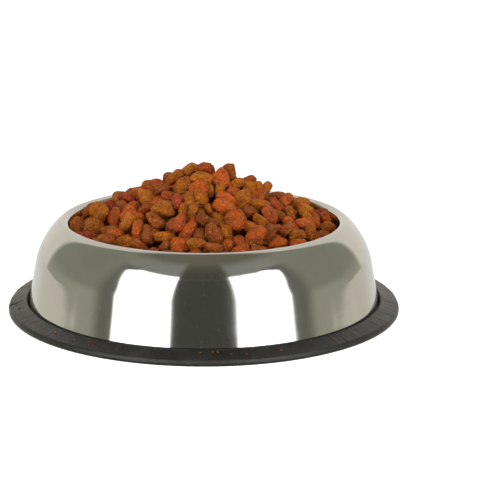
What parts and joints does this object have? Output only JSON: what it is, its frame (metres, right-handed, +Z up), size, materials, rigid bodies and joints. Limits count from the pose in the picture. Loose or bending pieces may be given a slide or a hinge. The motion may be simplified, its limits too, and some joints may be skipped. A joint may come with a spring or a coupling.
{
  "type": "pet bowl of dry food",
  "caption": "Round non-tip steel pet bowl with a wide sloping skirt and a rubber foot ring, heaped with dry kibble pieces.",
  "frame": {"origin": "centre of the rubber ring's flat underside, on the surface the bowl stands on", "axes": "+Z up along the bowl's axis of revolution, which is also its shortest extent; the bowl is round, so +X and +Y are free, and -Y faces the viewer"},
  "size_m": [0.2506, 0.2506, 0.0854],
  "materials": {
    "steel": "polished stainless sheet with faint turned brushing lines, mirror-like reflections",
    "rubber": "satin black moulded rubber, dusty on top, with fine radial wrinkles",
    "kibble_bed": "dark matt dry food in shadow",
    "kibble_ochre": "matt granular dry food, ochre brown",
    "kibble_rust": "matt granular dry food, orange rust",
    "kibble_brown": "matt granular dry food, red brown",
    "kibble_crimson": "matt granular dry food, crimson"
  },
  "bodies": {
    "root": {"bowl_shell": "steel", "rubber_ring": "rubber", "kibble_bed": "kibble_bed", "kibble_01": "kibble_ochre", "kibble_02": "kibble_brown", "kibble_03": "kibble_ochre", "kibble_04": "kibble_ochre", "kibble_05": "kibble_rust", "kibble_06": "kibble_rust", "kibble_07": "kibble_ochre", "kibble_08": "kibble_ochre", "kibble_09": "kibble_brown", "kibble_10": "kibble_rust", "kibble_11": "kibble_rust", "kibble_12": "kibble_ochre", "kibble_13": "kibble_rust", "kibble_14": "kibble_rust", "kibble_15": "kibble_ochre", "kibble_16": "kibble_ochre", "kibble_17": "kibble_brown", "kibble_18": "kibble_crimson", "kibble_19": "kibble_brown", "kibble_20": "kibble_rust", "kibble_21": "kibble_ochre", "kibble_22": "kibble_brown", "kibble_23": "kibble_ochre", "kibble_24": "kibble_ochre", "kibble_25": "kibble_rust", "kibble_26": "kibble_rust", "kibble_27": "kibble_ochre", "kibble_28": "kibble_ochre", "kibble_29": "kibble_brown", "kibble_30": "kibble_rust", "kibble_31": "kibble_rust", "kibble_32": "kibble_ochre", "kibble_33": "kibble_rust", "kibble_34": "kibble_rust", "kibble_35": "kibble_ochre", "kibble_36": "kibble_ochre", "kibble_37": "kibble_brown", "kibble_38": "kibble_crimson", "kibble_39": "kibble_brown", "kibble_40": "kibble_rust", "kibble_41": "kibble_ochre", "kibble_42": "kibble_brown", "kibble_43": "kibble_ochre", "kibble_44": "kibble_ochre", "kibble_45": "kibble_rust", "kibble_46": "kibble_rust", "kibble_47": "kibble_ochre", "kibble_48": "kibble_ochre", "kibble_49": "kibble_brown", "kibble_50": "kibble_rust", "kibble_51": "kibble_rust", "kibble_52": "kibble_ochre", "kibble_53": "kibble_rust", "kibble_54": "kibble_rust", "kibble_55": "kibble_ochre", "kibble_56": "kibble_ochre", "kibble_57": "kibble_brown"}
  },
  "joints": []
}
